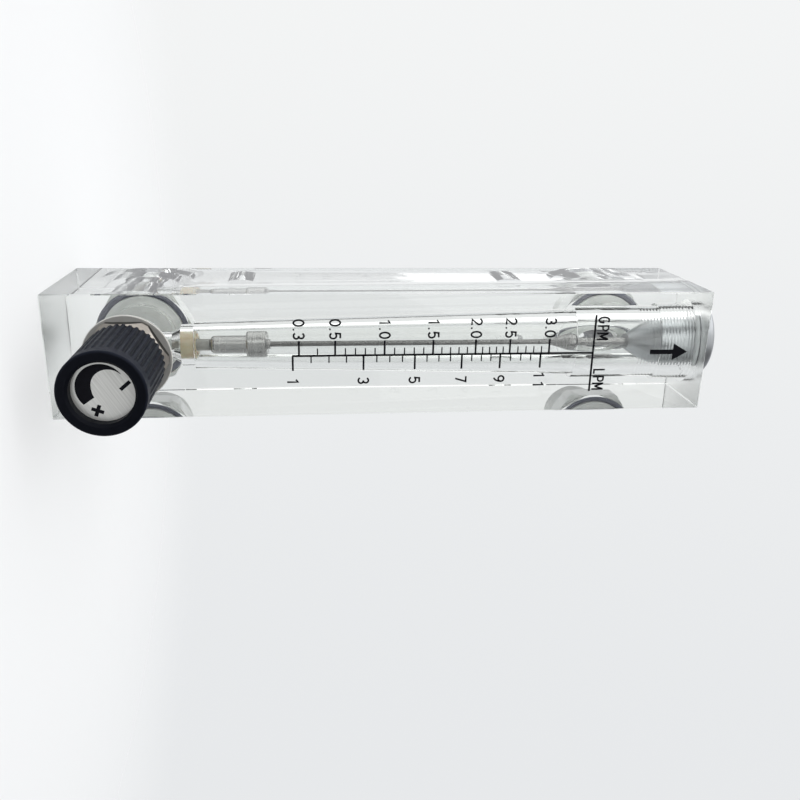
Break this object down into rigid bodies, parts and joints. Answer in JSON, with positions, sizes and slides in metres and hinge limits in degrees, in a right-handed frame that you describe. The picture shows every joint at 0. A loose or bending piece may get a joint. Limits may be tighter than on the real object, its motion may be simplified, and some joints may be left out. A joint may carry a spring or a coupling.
{
  "type": "rotameter",
  "caption": "Panel flow meter: clear block with a tapered tube and rising float, needle valve knob in front, male pipe fittings at the back.",
  "frame": {"origin": "centre of the block's bottom end face, below the axis of the tapered tube", "axes": "+Z is the flow direction along the tube, the scale and the valve knob face -Y, the pipe fittings leave towards +Y"},
  "size_m": [0.036, 0.0895, 0.1958],
  "materials": {
    "clear_acrylic": "clear, flame polished",
    "white_abs": "moulded",
    "seal_rubber": "smooth",
    "amber_plastic": "moulded",
    "pale_plastic": "soft",
    "steel": "turned",
    "plated": "nickel plated",
    "brass": "turned",
    "plug_metal": "turned, satin",
    "knob_plastic": "moulded, satin",
    "cap_metal": "brushed"
  },
  "bodies": {
    "meter_body": {"body_block": "clear_acrylic", "inlet_fitting": "white_abs", "outlet_fitting": "white_abs", "inlet_seal": "seal_rubber", "outlet_seal": "seal_rubber", "plug_seal": "seal_rubber", "bonnet_seal": "seal_rubber", "rod_holder": "amber_plastic", "lower_stop": "pale_plastic", "bonnet_washer": "pale_plastic", "gland_packing": "pale_plastic", "valve_seat": "pale_plastic", "guide_rod": "steel", "upper_stop": "steel", "plug_sleeve": "steel", "valve_bonnet": "plated", "gland_nut": "brass", "top_plug": "plug_metal"},
    "float": {"float": "steel"},
    "stem_seal_ring": {"stem_seal": "seal_rubber"},
    "knob_and_stem": {"valve_stem": "brass", "knob": "knob_plastic", "knob_cap": "cap_metal", "knob_screw": "steel"}
  },
  "joints": [
    {"name": "float_rise", "type": "slide", "parent": "meter_body", "child": "float", "axis": [0, 0, 1], "range_m": [0, 0.0857]},
    {"name": "stem_travel", "type": "slide", "parent": "meter_body", "child": "stem_seal_ring", "axis": [0, -1, 0], "range_m": [-0.00025, 0.00375]},
    {"name": "knob_turn", "type": "hinge", "parent": "stem_seal_ring", "child": "knob_and_stem", "pos_m": [0, 0, 0.022], "axis": [0, -1, 0], "range_deg": [-91, 1351]}
  ],
  "couplings": [
    {"joint": "knob_turn", "follows": "stem_travel", "rad_per_m": 6283.2}
  ]
}
